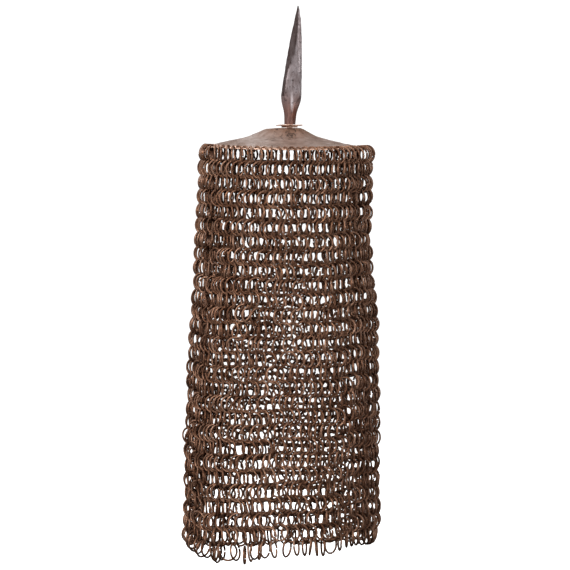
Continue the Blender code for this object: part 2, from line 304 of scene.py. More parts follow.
def between(rows, key, column, place):
    """One column of a table at a place, straight from row to row. Rows ascend in the key column."""
    keys = [getattr(row, key) for row in rows]
    values = [getattr(row, column) for row in rows]
    return np.interp(place, keys, values)


def between_sections(height, column):
    """One column of the mail's table at a height, eased from row to row."""
    rows = MAIL_SECTIONS
    if height >= rows[0].height:
        return getattr(rows[0], column)
    for upper, lower in zip(rows, rows[1:]):
        if height >= lower.height:
            share = (upper.height - height) / (upper.height - lower.height)
            smooth = share * share * (3 - 2 * share)
            share += (smooth - share) * EASED_SHARE
            start = getattr(upper, column)
            return start + (getattr(lower, column) - start) * share
    return getattr(rows[-1], column)


def rim_drop(angle):
    """How far the plate's rim lies below its mean height: lower on the right, in front and behind."""
    return RIM_TILT * sin(angle) + RIM_SADDLE * cos(angle) ** 2


def row_height(row, angle):
    """Height of a ring row's centre line. Row 1 hangs from the plate's rim."""
    pitch = ROW_PITCH - PITCH_LOSS_RIGHT * sin(angle) + PITCH_GAIN_FRONT_BACK * cos(angle) ** 2
    pitch += PITCH_GAIN_BACK * ((1 - cos(angle)) / 2) ** 2
    sag = 0.0
    if sin(angle) < 0 < cos(angle):
        sag = LEFT_FRONT_SAG * sin(2 * angle) ** 2 * max(0.0, row - SAG_BELOW_ROW)
    return FIRST_ROW_HEIGHT - rim_drop(angle) - (row - 1) * pitch - sag


def net_point(angle, height, depth=0.0):
    """A point of the net's middle surface, moved outwards by depth."""
    waves = WAVE_3 * cos(3 * angle) + WAVE_5 * cos(5 * angle)
    waves *= clamp(-height / WAVES_FULL_BELOW)
    radius = between_sections(height, "radius") + waves + depth
    shift = between_sections(height, "shift_x")
    return Vector((shift + radius * sin(angle), -radius * cos(angle), height))


def ring_turn(column_pitch, row_pitch):
    """How far a ring turns from facing outwards, so that its links hold this pitch."""
    low, high = LEAST_TURN, MOST_TURN
    for _ in range(TURN_HALVINGS):
        turn = (low + high) / 2
        sine = min(MOST_SPOKE_SINE, column_pitch / (4 * RING_RADIUS * cos(turn)))
        cosine = sqrt(1 - sine * sine)
        clearance = 2 * WIRE_RADIUS * sqrt(1 + (sine / (cosine * cos(turn))) ** 2)
        if 2 * RING_RADIUS * cosine - clearance > row_pitch:
            low = turn
        else:
            high = turn
    return turn


def drift(angle, row, scale, seed):
    """Smooth uneven values round the tube and down its rows, about -0.5 to 0.5."""
    around, down = scale
    place = Vector((around * cos(angle) + seed, around * sin(angle) - seed, down * row))
    return noise.noise(place)


def looseness(row):
    """How freely a row hangs: not at all at the plate, and fully a few rows down."""
    return clamp((row - 1) / HELD_ROWS)


def column_shift(angle, row):
    """How far a ring has moved round the tube from its even place, in columns."""
    loose = max(DRIFT_ROUND_RIM_SHARE, looseness(row))
    crowded = clamp((row - CROWDED_BELOW_ROW) / CROWDED_OVER_ROWS)
    shift = DRIFT_ROUND * drift(angle, row, DRIFT_ROUND_SCALE, DRIFT_ROUND_SEED)
    return loose * (shift - CROWDING * crowded * sin(2 * (angle - CROWDED_AT)))


def uneven_turn(row, column, angle, turn, rng):
    """A ring's turn with its row's drift and a chance spread. The hem's rings hang free."""
    chance = TURN_SPREAD
    if row == 1:
        chance = RIM_TURN_SPREAD
        turn = max(turn, LEAST_RIM_TURN)
        turn += RIM_TURN_DRIFT * drift(angle, row, RIM_TURN_DRIFT_SCALE, RIM_TURN_SEED)
        turn -= RIM_TURN_EASE_RIGHT * max(0.0, sin(angle))
        turn -= RIM_TURN_EASE_BACK * max(0.0, -cos(angle))
        turn = max(turn, RIM_CLEAR_TURN)
    if row == RING_ROWS:
        chance = HEM_TURN_SPREAD
        turn = HEM_TURN - HEM_TURN_SWING * sin(angle)
    turn += rng.normal(0, chance)
    if row == RING_ROWS and column in FACE_ON_HEM_COLUMNS:
        turn = FACE_ON_TURN
    return turn


def lay_rings(rng):
    """Every ring's centre and its two in-plane directions, before the rings settle."""
    centres, alongs, ups = [], [], []
    step = 2 * pi / RING_COLUMNS
    for row in range(1, RING_ROWS + 1):
        hung = looseness(row)
        sagging = clamp((row - 1) / DRIFT_DOWN_ROWS)
        lean = -1 if row % 2 else 1
        for column in range(RING_COLUMNS):
            angle = (column + 0.5 * (row % 2) + COLUMN_PHASE) * step
            moved = angle + column_shift(angle, row) * step
            spacing = 1 + (column_shift(angle + step, row) - column_shift(angle - step, row)) / 2
            height = row_height(row, moved)
            height += sagging * DRIFT_DOWN * drift(angle, row, DRIFT_DOWN_SCALE, DRIFT_DOWN_SEED)
            depth = hung * DRIFT_DEPTH * drift(angle, row, DRIFT_DEPTH_SCALE, DRIFT_DEPTH_SEED)
            depth += HEM_DEPTH if row == RING_ROWS else 0.0
            centre = net_point(moved, height, depth)
            column_pitch = spacing * step * between_sections(height, "radius")
            row_pitch = row_height(row, angle) - row_height(row + 1, angle)
            turn = uneven_turn(row, column, moved, ring_turn(column_pitch, row_pitch), rng)
            outwards = Vector((sin(moved), -cos(moved), 0))
            along = Vector((cos(moved), sin(moved), 0)) * cos(turn) - outwards * sin(turn) * lean
            tilt = rng.normal(0, TILT_SPREAD) * hung
            up = Vector((0, 0, 1)) * cos(tilt) + along.cross(Vector((0, 0, 1))) * sin(tilt)
            centre += Vector(rng.normal(0, PLACE_SPREAD, 3)) * hung
            centres.append(centre)
            alongs.append(along)
            ups.append(up)
    return np.array(centres), np.array(alongs), np.array(ups)


def ring_index(row, column):
    return (row - 1) * RING_COLUMNS + column % RING_COLUMNS


def touching_pairs():
    """Rings that are linked, and neighbours in a row."""
    pairs = []
    for row in range(1, RING_ROWS + 1):
        for column in range(RING_COLUMNS):
            this = ring_index(row, column)
            pairs.append((this, ring_index(row, column + 1)))
            if row < RING_ROWS:
                first_below = column if row % 2 else column - 1
                pairs.append((this, ring_index(row + 1, first_below)))
                pairs.append((this, ring_index(row + 1, first_below + 1)))
    return np.array(pairs)


def unit(vectors):
    return vectors / np.linalg.norm(vectors, axis=-1, keepdims=True)


def dot(first, second):
    return (first * second).sum(-1, keepdims=True)


def nearest_on_ring(points, centres, normals):
    away = points - centres
    away = away - normals * dot(normals, away)
    return centres + unit(away) * RING_RADIUS


def closest_places(centres, alongs, ups, pairs):
    """Where each pair of rings comes nearest, at two places, and the rings' axes."""
    steps = 2 * pi * np.arange(SETTLE_SAMPLES) / SETTLE_SAMPLES
    spokes = alongs[:, None] * np.sin(steps)[None, :, None] - ups[:, None] * np.cos(steps)[None, :, None]
    places = centres[:, None] + spokes * RING_RADIUS
    first, second = places[pairs[:, 0]], places[pairs[:, 1]]
    squares = (first**2).sum(-1)[:, :, None] + (second**2).sum(-1)[:, None, :]
    squares -= 2 * np.matmul(first, second.transpose(0, 2, 1))
    count = len(pairs)
    numbers = np.arange(count)
    nearby = np.arange(-SAME_CONTACT, SAME_CONTACT + 1)
    normals = np.cross(alongs, ups)
    found = []
    for _ in range(CONTACTS_A_PAIR):
        flat = squares.reshape(count, -1).argmin(1)
        at_first, at_second = np.divmod(flat, SETTLE_SAMPLES)
        near_first = (at_first[:, None] + nearby) % SETTLE_SAMPLES
        near_second = (at_second[:, None] + nearby) % SETTLE_SAMPLES
        squares[numbers[:, None, None], near_first[:, :, None], near_second[:, None, :]] = FAR_SQUARE
        on_first = first[numbers, at_first]
        for _ in range(NEAREST_ROUNDS):
            on_second = nearest_on_ring(on_first, centres[pairs[:, 1]], normals[pairs[:, 1]])
            on_first = nearest_on_ring(on_second, centres[pairs[:, 0]], normals[pairs[:, 0]])
        found.append((on_first, on_second))
    return found, normals


def turning(arms, pushes, normals, free):
    """How a push at an arm turns a thin ring: (turn for a unit push, ease of moving that point)."""
    torque = np.cross(arms, pushes)
    about_axis = normals * dot(normals, torque)
    response = (2 * (torque - about_axis) + about_axis) / RING_RADIUS**2
    return response * free, (1 + dot(response, torque)) * free


def settle_rings(centres, alongs, ups):
    """Lets the rings sag and push each other clear, with the first row held by the plate."""
    pairs = touching_pairs()
    homes, home_alongs, home_ups = centres.copy(), alongs.copy(), ups.copy()
    free = np.ones((len(centres), 1))
    free[:RING_COLUMNS] = 0.0
    first, second = pairs[:, 0], pairs[:, 1]
    for round_number in range(SETTLE_ROUNDS):
        easing = 1 - round_number / SETTLE_ROUNDS
        centres = centres + (homes - centres) * PULL_TO_PLACE * easing
        centres[:, 2:] -= SAG * easing * free
        alongs = unit(alongs + (home_alongs - alongs) * PULL_TO_TURN * easing)
        ups = ups + (home_ups - ups) * PULL_TO_TURN * easing
        ups = unit(ups - alongs * dot(alongs, ups))
        found, normals = closest_places(centres, alongs, ups, pairs)
        moves = np.zeros((len(centres), MOVE_COLUMNS))
        for on_first, on_second in found:
            apart = on_first - on_second
            distance = np.linalg.norm(apart, axis=1, keepdims=True)
            push = apart / np.maximum(distance, TINY)
            depth = np.maximum(CONTACT_DISTANCE - distance, 0)
            turn_a, ease_a = turning(on_first - centres[first], push, normals[first], free[first])
            turn_b, ease_b = turning(on_second - centres[second], push, normals[second], free[second])
            size = depth / np.maximum(ease_a + ease_b, TINY)
            touch = (depth > 0).astype(float)
            for rings, sign, turn in ((first, 1, turn_a), (second, -1, turn_b)):
                rows = np.hstack([sign * size * push * free[rings], sign * size * turn, touch])
                for column in range(MOVE_COLUMNS):
                    moves[:, column] += np.bincount(rings, rows[:, column], len(centres))
        shared = PUSH / np.maximum(moves[:, 6:], PUSH)
        centres = centres + moves[:, :3] * shared
        turns = np.clip(moves[:, 3:6] * shared, -MOST_SETTLE_TURN, MOST_SETTLE_TURN)
        alongs = unit(alongs + np.cross(turns, alongs))
        ups = ups + np.cross(turns, ups)
        ups = unit(ups - alongs * dot(alongs, ups))
    return centres, alongs, ups


def ring_mesh(name, numbers, rings, shapes):
    """One mesh of many butted rings, each a bent round wire with flat ends."""
    centres, alongs, ups = (part[numbers] for part in rings)
    normals = np.cross(alongs, ups)
    butt_place, butt_gap, spring, oval, oval_place, tone = (shapes[numbers, n] for n in range(6))
    share = np.linspace(0, 1, RING_SEGMENTS + 1)
    steps = butt_place[:, None] + butt_gap[:, None] / 2 + (2 * pi - butt_gap[:, None]) * share
    spokes = alongs[:, None] * np.sin(steps)[..., None] - ups[:, None] * np.cos(steps)[..., None]
    bend = 1 + oval[:, None] * np.cos(2 * (steps - oval_place[:, None]))
    middles = centres[:, None] + spokes * (RING_RADIUS * bend)[..., None]
    middles += normals[:, None] * (spring[:, None] * (share - 0.5))[..., None]
    around = 2 * pi * np.arange(WIRE_SIDES) / WIRE_SIDES
    offsets = spokes[:, :, None] * np.cos(around)[:, None] + normals[:, None, None] * np.sin(around)[:, None]
    points = middles[:, :, None] + offsets * WIRE_RADIUS
    per_ring = (RING_SEGMENTS + 1) * WIRE_SIDES
    loop, side = np.meshgrid(np.arange(RING_SEGMENTS), np.arange(WIRE_SIDES), indexing="ij")
    corner = loop * WIRE_SIDES + side
    beside = loop * WIRE_SIDES + (side + 1) % WIRE_SIDES
    quads = np.stack([corner, corner + WIRE_SIDES, beside + WIRE_SIDES, beside], -1).reshape(-1, 4)
    first_cap = np.arange(WIRE_SIDES)
    last_cap = RING_SEGMENTS * WIRE_SIDES + np.arange(WIRE_SIDES)[::-1]
    faces = []
    for ring in range(len(numbers)):
        start = ring * per_ring
        faces.extend((quads + start).tolist())
        faces.append((first_cap + start).tolist())
        faces.append((last_cap + start).tolist())
    piece = add_piece(name, points.reshape(-1, 3).tolist(), faces, WIRE_SHARP_ANGLE)
    mark_points(piece, "ring_tone", np.repeat(tone, per_ring).astype(np.float32))
    return piece


def add_piece(name, vertices, faces, sharp_angle):
    mesh = bpy.data.meshes.new(name)
    mesh.from_pydata(vertices, [], faces)
    mesh.shade_smooth()
    mesh.set_sharp_from_angle(angle=sharp_angle)
    piece = bpy.data.objects.new(name, mesh)
    bpy.context.scene.collection.objects.link(piece)
    return piece


def mark_points(piece, name, values):
    piece.data.attributes.new(name, "FLOAT", "POINT").data.foreach_set("value", values)


def ring_shapes(rng):
    """Butt place and gap, spring, oval share and its place, and tone of every ring."""
    count = RING_ROWS * RING_COLUMNS
    shapes = np.stack(
        [
            rng.choice(BUTT_PLACES, count) + rng.normal(0, BUTT_PLACE_SPREAD, count),
            rng.uniform(BUTT_GAP_LEAST, BUTT_GAP_MOST, count),
            rng.normal(0, SPRING_SPREAD, count),
            rng.normal(0, OVAL_SPREAD, count),
            rng.uniform(0, pi, count),
            rng.uniform(0, 1, count),
        ],
        axis=1,
    )
    opened = ring_index(RING_ROWS, OPEN_HEM_COLUMN)
    shapes[opened, 0] = OPEN_BUTT_PLACE
    shapes[opened, 1] = OPEN_BUTT_GAP
    return shapes


def plate_place(radius, angle):
    """A point of the crown plate's top. Radius and angle are those of its turned form."""
    height = between(PLATE_SECTIONS, "radius", "height", radius)
    shift = between(PLATE_SECTIONS, "radius", "shift_x", radius)
    height -= rim_drop(angle) * between(PLATE_SECTIONS, "radius", "tilt_share", radius)
    point = Vector((shift + radius * sin(angle), -radius * cos(angle), height))
    inner_share = clamp((HOLE_BAND[0] - radius) / BEATEN_FADE_OUT)
    outer_share = clamp((radius - BEATEN_FROM) / BEATEN_FADE_IN)
    beaten = noise.noise(point * BEATEN_WIDE_SCALE) * BEATEN_WIDE
    beaten += noise.noise(point * BEATEN_FINE_SCALE) * BEATEN_FINE
    waves = noise.noise(point * PLATE_WAVE_SCALE) * PLATE_WAVES
    point.z += beaten * inner_share * outer_share + waves
    return point


def plate_coordinates(x, y):
    """The radius and angle at which the plate's top passes over a point."""
    radius = hypot(x, y)
    for _ in range(PLATE_SEARCH_ROUNDS):
        shift = between(PLATE_SECTIONS, "radius", "shift_x", radius)
        radius = hypot(x - shift, y)
    return radius, atan2(x - shift, -y)


def hole_places(rings):
    """Where each ring of the first row passes down through the plate, and along which direction."""
    places = []
    for column in range(RING_COLUMNS):
        centre, along = Vector(rings[0][column]), Vector(rings[1][column])
        inwards = along if along.dot(centre * Vector((1, 1, 0))) < 0 else -along
        height = RIM_TOP_HEIGHT
        for _ in range(HOLE_SEARCH_ROUNDS):
            rise = height - PLATE_THICKNESS / 2 - centre.z
            place = centre + inwards * sqrt(RING_RADIUS**2 - rise**2)
            radius, angle = plate_coordinates(place.x, place.y)
            height = plate_place(radius, angle).z
        heading = atan2(inwards.x, -inwards.y)
        places.append((radius, angle, heading))
    return places


def plate_radii():
    """The radii of the plate's grid. Each hole has its own patch in the band near the rim."""
    inner = TANG_RADIUS + GAP
    radii = []
    for level in range(PLATE_INNER_RINGS):
        share = (level / PLATE_INNER_RINGS) ** PLATE_RING_CROWDING
        radii.append(inner + (HOLE_BAND[0] - inner) * share)
    for cell in range(HOLE_BAND_CELLS + 1):
        radii.append(HOLE_BAND[0] + (HOLE_BAND[1] - HOLE_BAND[0]) * cell / HOLE_BAND_CELLS)
    return radii + [PLATE_EDGE_LOOP, PLATE_RADIUS]


def plate_grid(start, sides):
    """The sheet's points, their numbers by level and side, and its faces outside the hole band."""
    radii = plate_radii()
    band, cells = PLATE_INNER_RINGS, HOLE_BAND_CELLS
    vertices, index, faces = [], {}, []
    for level, radius in enumerate(radii):
        for side in range(sides):
            if band < level < band + cells and side % cells:
                continue
            index[level, side] = len(vertices)
            vertices.append(plate_place(radius, start + 2 * pi * side / sides))
    for level in range(len(radii) - 1):
        if band <= level < band + cells:
            continue
        for side in range(sides):
            after = (side + 1) % sides
            faces.append(
                (index[level, side], index[level + 1, side], index[level + 1, after], index[level, after])
            )
    return vertices, index, faces


def patch_border(index, first_side, sides):
    """The grid points round one hole's patch, in order, counter-clockwise seen from above."""
    band, cells = PLATE_INNER_RINGS, HOLE_BAND_CELLS
    last_side = first_side + cells
    inner = [index[band, (last_side - step) % sides] for step in range(cells)]
    left = [index[band + step, first_side % sides] for step in range(cells)]
    outer = [index[band + cells, (first_side + step) % sides] for step in range(cells)]
    right = [index[band + cells - step, last_side % sides] for step in range(cells)]
    return inner + left + outer + right


def hole_edge(middle, heading, corner):
    """The point of a hole's oval edge that lies towards a corner of its patch."""
    toward = atan2(corner.x - middle.x, -(corner.y - middle.y)) - heading
    reach_x = HOLE_HALF_LENGTH * cos(toward)
    reach_y = HOLE_HALF_WIDTH * sin(toward)
    x = middle.x + reach_x * sin(heading) + reach_y * cos(heading)
    y = middle.y - reach_x * cos(heading) + reach_y * sin(heading)
    return plate_place(*plate_coordinates(x, y))


def make_crown_plate(rings):
    """The beaten iron sheet, with an oval hole for each ring of the first row."""
    holes = sorted(hole_places(rings), key=lambda hole: hole[1] % (2 * pi))
    sides = RING_COLUMNS * HOLE_BAND_CELLS
    start = holes[0][1] % (2 * pi) - 0.5 * 2 * pi / RING_COLUMNS
    vertices, index, faces = plate_grid(start, sides)
    for column, (radius, angle, heading) in enumerate(holes):
        border = patch_border(index, column * HOLE_BAND_CELLS, sides)
        middle = plate_place(radius, angle)
        rim = []
        for number in border:
            rim.append(len(vertices))
            vertices.append(hole_edge(middle, heading, vertices[number]))
        for place in range(len(border)):
            after = (place + 1) % len(border)
            faces.append((border[place], border[after], rim[after], rim[place]))
    plate = add_piece("crown_plate_beaten", vertices, faces, PLATE_SHARP_ANGLE)
    sheet = plate.modifiers.new("Sheet", "SOLIDIFY")
    sheet.thickness = PLATE_THICKNESS
    sheet.offset = -1
    return plate


def spike_outline(height):
    """The spike's outline at a height, with its corners rounded off."""
    blur = SPIKE_BLUR if SPIKE_BLUR_FROM < height < SPIKE_BLUR_TO else 0.0
    heights = (height - blur, height, height + blur)
    columns = ("x", "half_width", "half_depth", "face_left", "face_right", "edge")
    x, half_width, half_depth, face_left, face_right, edge = (
        np.mean([between(SPIKE_SECTIONS, "height", column, h) for h in heights]) for column in columns
    )
    corners = (
        (-half_width, -edge),
        (-face_left, -half_depth),
        (face_right, -half_depth),
        (half_width, -edge),
        (half_width, edge),
        (face_right, half_depth),
        (-face_left, half_depth),
        (-half_width, edge),
    )
    outline = []
    for (ax, ay), (bx, by) in zip(corners, corners[1:] + corners[:1]):
        for share in CORNER_SHARES:
            outline.append(Vector((x + ax + (bx - ax) * share, ay + (by - ay) * share, height)))
    return outline


def spike_marks(height, outline):
    """How far each point of an outline lies on the dark bevel, where shade is painted, and on the pale edge,
    where a highlight is painted.
    """
    if height <= BEVEL_FROM:
        return [0.0] * len(outline), [0.0] * len(outline)
    line = between(SPIKE_SECTIONS, "height", "x", height)
    face_left = between(SPIKE_SECTIONS, "height", "face_left", height)
    half_width = between(SPIKE_SECTIONS, "height", "half_width", height)
    widened = clamp((height - SHADE_WIDE_FROM) / (SHADE_WIDE_AT - SHADE_WIDE_FROM))
    border = line - face_left * (1 - widened) + SHADE_WIDE_EDGE * widened
    below_tip = clamp((HIGHLIGHT_EDGE_TO - height) / HIGHLIGHT_EDGE_FADE)
    bevels = [clamp((border - point.x) / SHADE_FADE) for point in outline]
    edges = [clamp(1 - (line + half_width - point.x) / HIGHLIGHT_EDGE_WIDTH) * below_tip for point in outline]
    return bevels, edges


def make_spike():
    """The forged spike, with hammer dents and rust pits."""
    heights = {row.height for row in SPIKE_SECTIONS}
    top = SPIKE_SECTIONS[-1].height
    heights.update(top * level / SPIKE_LEVELS for level in range(SPIKE_LEVELS + 1))
    vertices, faces, bevels, edges = [], [], [], []
    count = SPIKE_CORNERS * len(CORNER_SHARES)
    levels = sorted(heights)
    for height in levels:
        outline = spike_outline(height)
        middle = sum(outline, Vector()) / count
        dark, pale = spike_marks(height, outline)
        bevels += dark
        edges += pale
        for point in outline:
            away = point - middle
            worn = min(1.0, away.length / DENTED_BEYOND)
            dents = noise.noise(point * DENT_SCALE) * DENT_DEPTH
            pits = -abs(noise.noise(point * PIT_SCALE)) * PIT_DEPTH
            vertices.append(point + away.normalized() * (dents + pits) * worn if away.length else point)
    for level in range(len(levels) - 1):
        for side in range(count):
            after = (side + 1) % count
            a, b = level * count, (level + 1) * count
            faces.append((a + side, a + after, b + after, b + side))
    faces.append(tuple(range(count))[::-1])
    faces.append(tuple(range((len(levels) - 1) * count, len(levels) * count)))
    spike = add_piece("spike_forged", vertices, faces, SPIKE_SHARP_ANGLE)
    # The dark bevel carries painted shade and the pale edge a painted highlight.
    mark_points(spike, "left_bevel_painted_shade", bevels)
    mark_points(spike, "edge_painted_highlight", edges)
    return spike


def make_collar():
    """The washer under the spike: a thin flange with a worn, uneven edge on a short hub."""
    vertices, faces = [], []
    count = len(COLLAR_PROFILE)
    for side in range(COLLAR_SIDES):
        angle = 2 * pi * side / COLLAR_SIDES
        x, y = cos(angle) * FLANGE_NOISE_RADIUS, sin(angle) * FLANGE_NOISE_RADIUS
        place = Vector((x, y, FLANGE_NOISE_HEIGHT))
        wear = noise.noise(place) * EDGE_WEAR + noise.noise(place * EDGE_NICK_SCALE) * EDGE_NICKS
        bend = noise.noise(place * FLANGE_BEND_SCALE + FLANGE_BEND_PLACE) * FLANGE_BEND
        for point in COLLAR_PROFILE:
            out = max(0.0, (point.radius - FLANGE_FROM) / FLANGE_WIDTH)
            radius = point.radius + out * wear
            height = point.height + out * bend
            vertices.append((TANG_X + radius * cos(angle), radius * sin(angle), height))
    for side in range(COLLAR_SIDES):
        after = (side + 1) % COLLAR_SIDES
        for level in range(count):
            below = (level + 1) % count
            faces.append(
                (side * count + level, side * count + below, after * count + below, after * count + level)
            )
    return add_piece("collar_washer", vertices, faces, COLLAR_SHARP_ANGLE)


# What the materials are made of, with the numbers of the colour mix's sockets
SPECULAR_LEVEL = 0.12
MIX_FACTOR, MIX_FIRST, MIX_SECOND, MIX_RESULT = 0, 6, 7, 2
NoiseKind = namedtuple("NoiseKind", "Scale Detail Roughness Distortion")
Span = namedtuple("Span", "low high to_low to_high")
Line = namedtuple("Line", "middle reach")
Relief = namedtuple("Relief", "distance strength shares")


def add_node(tree, kind, inputs=None, **settings):
    """A shader node. Inputs are named or numbered, and each is a value or another node's output."""
    made = tree.nodes.new(kind)
    for key, value in settings.items():
        setattr(made, key, value)
    for key, value in (inputs or {}).items():
        if isinstance(value, bpy.types.NodeSocket):
            tree.links.new(value, made.inputs[key])
        else:
            made.inputs[key].default_value = value
    return made


def new_material(name, metallic):
    material = bpy.data.materials.new(name)
    material.use_nodes = True
    tree = material.node_tree
    shader = tree.nodes["Principled BSDF"]
    shader.inputs["Metallic"].default_value = metallic
    shader.inputs["Specular IOR Level"].default_value = SPECULAR_LEVEL
    coordinates = add_node(tree, "ShaderNodeTexCoord").outputs["Object"]
    return material, tree, shader, coordinates


def noise_of(tree, coordinates, kind):
    inputs = {"Vector": coordinates, **kind._asdict()}
    return add_node(tree, "ShaderNodeTexNoise", inputs).outputs["Fac"]


def drawn_out(tree, coordinates, scale):
    return add_node(tree, "ShaderNodeMapping", {"Vector": coordinates, "Scale": scale}).outputs[0]


def attribute_of(tree, name):
    return add_node(tree, "ShaderNodeAttribute", attribute_name=name).outputs["Fac"]


def axes_of(tree, coordinates):
    return add_node(tree, "ShaderNodeSeparateXYZ", {0: coordinates}).outputs


def ramp(tree, factor, stops):
    made = add_node(tree, "ShaderNodeValToRGB", {"Fac": factor})
    elements = made.color_ramp.elements
    while len(elements) < len(stops):
        elements.new(0.5)
    for element, (position, colour) in zip(elements, stops):
        element.position = position
        element.color = (*colour, 1.0)
    return made.outputs["Color"]


def spread(tree, value, span):
    """A value carried over from one range to another, and held at its ends."""
    return add_node(tree, "ShaderNodeMapRange", dict(enumerate((value, *span)))).outputs["Result"]


def mix(tree, factor, first, second, blend="MIX"):
    inputs = {MIX_FACTOR: factor, MIX_FIRST: first, MIX_SECOND: second}
    made = add_node(tree, "ShaderNodeMix", inputs, data_type="RGBA", blend_type=blend)
    return made.outputs[MIX_RESULT]


def calculate(tree, operation, *values):
    return add_node(tree, "ShaderNodeMath", dict(enumerate(values)), operation=operation).outputs[0]


def multiply(tree, product, *factors):
    for factor in factors:
        product = calculate(tree, "MULTIPLY", product, factor)
    return product


def weigh(tree, values, shares):
    """The sum of several values, each times its share."""
    total = None
    for value, share in zip(values, shares):
        part = multiply(tree, value, share)
        total = part if total is None else calculate(tree, "ADD", total, part)
    return total


def near_line(tree, value, line):
    """One where a value is at the line's middle, falling to zero at its reach."""
    away = calculate(tree, "ABSOLUTE", calculate(tree, "SUBTRACT", value, line.middle))
    return spread(tree, away, Span(0.0, line.reach, 1.0, 0.0))


def link_looks(tree, shader, colour, rough, relief, heights):
    """Colour, roughness, and relief from several heights."""
    tree.links.new(colour, shader.inputs["Base Color"])
    tree.links.new(rough, shader.inputs["Roughness"])
    height = weigh(tree, heights, relief.shares)
    inputs = {"Height": height, "Distance": relief.distance, "Strength": relief.strength}
    bump = add_node(tree, "ShaderNodeBump", inputs)
    tree.links.new(bump.outputs["Normal"], shader.inputs["Normal"])


MAIL_METALLIC = 0.7
MAIL_PATCHES = NoiseKind(38.0, 3.0, 0.55, 0.0)
MAIL_MOTTLE = NoiseKind(260.0, 5.0, 0.65, 0.0)
MAIL_GRAIN = NoiseKind(1500.0, 3.0, 0.6, 0.0)
MAIL_FLECKS = NoiseKind(520.0, 2.0, 0.5, 0.4)
MAIL_SHARES = (0.62, 0.16, 0.22)
MAIL_COLOURS = (
    (0.30, (0.044, 0.015, 0.006)),
    (0.44, (0.138, 0.064, 0.037)),
    (0.58, (0.242, 0.134, 0.088)),
    (0.74, (0.350, 0.230, 0.172)),
)
MAIL_RUST = (0.30, 0.125, 0.045, 1.0)
MAIL_RUST_SPAN = Span(0.80, 0.92, 0.0, 0.8)
MAIL_RUST_PATCH_SHARE = 0.35
MAIL_SHADE = Span(0.3, 0.7, 0.72, 1.2)
MAIL_ROUGHNESS = Span(0.3, 0.7, 0.70, 0.46)
MAIL_RELIEF = Relief(0.25 * MM, 0.8, (0.6, 0.4))


def mail_material():
    """Old iron wire: dark brown, worn to a warmer brown, with flecks of orange rust."""
    material, tree, shader, coordinates = new_material("mail_iron_old", MAIL_METALLIC)
    tone = attribute_of(tree, "ring_tone")
    patches = noise_of(tree, coordinates, MAIL_PATCHES)
    mottle = noise_of(tree, coordinates, MAIL_MOTTLE)
    grain = noise_of(tree, coordinates, MAIL_GRAIN)
    flecks = noise_of(tree, coordinates, MAIL_FLECKS)
    colour = ramp(tree, weigh(tree, (mottle, tone, patches), MAIL_SHARES), MAIL_COLOURS)
    rust = calculate(tree, "ADD", flecks, multiply(tree, patches, MAIL_RUST_PATCH_SHARE))
    colour = mix(tree, spread(tree, rust, MAIL_RUST_SPAN), colour, MAIL_RUST)
    shade = spread(tree, grain, MAIL_SHADE)
    shade_colour = add_node(tree, "ShaderNodeCombineColor", {0: shade, 1: shade, 2: shade}).outputs[0]
    colour = mix(tree, 1.0, colour, shade_colour, "MULTIPLY")
    rough = spread(tree, mottle, MAIL_ROUGHNESS)
    link_looks(tree, shader, colour, rough, MAIL_RELIEF, (mottle, grain))
    return material


PLATE_METALLIC = 0.45
PLATE_PATCHES = NoiseKind(32.0, 5.0, 0.62, 0.6)
PLATE_MOTTLE = NoiseKind(190.0, 6.0, 0.66, 0.0)
PLATE_GRAIN = NoiseKind(1300.0, 3.0, 0.6, 0.0)
PLATE_STREAKS = NoiseKind(1.0, 5.0, 0.6, 0.0)
STREAK_TURN = 5.0
STREAK_REACH = 130.0
PLATE_SHARES = (0.55, 0.45)
PLATE_COLOURS = (
    (0.34, (0.120, 0.080, 0.062)),
    (0.47, (0.230, 0.165, 0.138)),
    (0.58, (0.325, 0.255, 0.228)),
    (0.72, (0.420, 0.355, 0.330)),
)
# Painted highlight: a pale tan band near the rim, broken up by the mottle.
RIM_PAINTED_HIGHLIGHT = (0.820, 0.535, 0.400, 1.0)
RIM_HIGHLIGHT_SPAN = Span(73 * MM, 79 * MM, 0.0, 1.0)
RIM_HIGHLIGHT_MOTTLE = Span(0.36, 0.60, 0.70, 1.0)
CENTRE_BROWN = (0.185, 0.098, 0.062, 1.0)
CENTRE_SPAN = Span(19 * MM, 42 * MM, 1.0, 0.0)
CENTRE_PATCHES = Span(0.34, 0.56, 0.55, 1.0)
# Painted reflection: a pale grey sheen on the left flank in front, broken up by the streaks, fading towards
# the rim.
PAINTED_SHEEN_GREY = (0.470, 0.410, 0.385, 1.0)
PAINTED_SHEEN_LINE = Line(-37 * MM, 22 * MM)
PAINTED_SHEEN_FRONT = Span(0.0, -12 * MM, 0.0, 0.62)
PAINTED_SHEEN_STREAKS = Span(0.40, 0.60, 0.45, 1.0)
PAINTED_SHEEN_END = Span(44 * MM, 62 * MM, 1.0, 0.25)
# Painted shadow: a darker brown band down the front of the plate near the middle, in patches.
PAINTED_SHADOW_BROWN = (0.160, 0.082, 0.052, 1.0)
PAINTED_SHADOW_LINE = Line(4.5 * MM, 17 * MM)
PAINTED_SHADOW_FRONT = Span(-1 * MM, -14 * MM, 0.0, 0.8)
PAINTED_SHADOW_PATCHES = Span(0.36, 0.56, 0.35, 0.95)
DIRT_BLACK = (0.024, 0.014, 0.010, 1.0)
DIRT_DRAWN = (1.0, 0.45, 1.0)
DIRT_NOISE = NoiseKind(190.0, 3.0, 0.62, 1.6)
DIRT_LINE = Line(2.5 * MM, 17 * MM)
DIRT_RING = Line(29 * MM, 22 * MM)
DIRT_FRONT = Span(0.0, -8 * MM, 0.0, 1.0)
DIRT_SHARE = 0.26
DIRT_SPAN = Span(0.66, 0.72, 0.0, 0.9)
SPECK_BLACK = (0.050, 0.032, 0.026, 1.0)
SPECK_SPAN = Span(0.30, 0.40, 0.65, 0.0)
PLATE_ROUGHNESS = Span(0.35, 0.65, 0.72, 0.46)
PLATE_RELIEF = Relief(0.5 * MM, 0.6, (0.5, 0.3, 0.2))


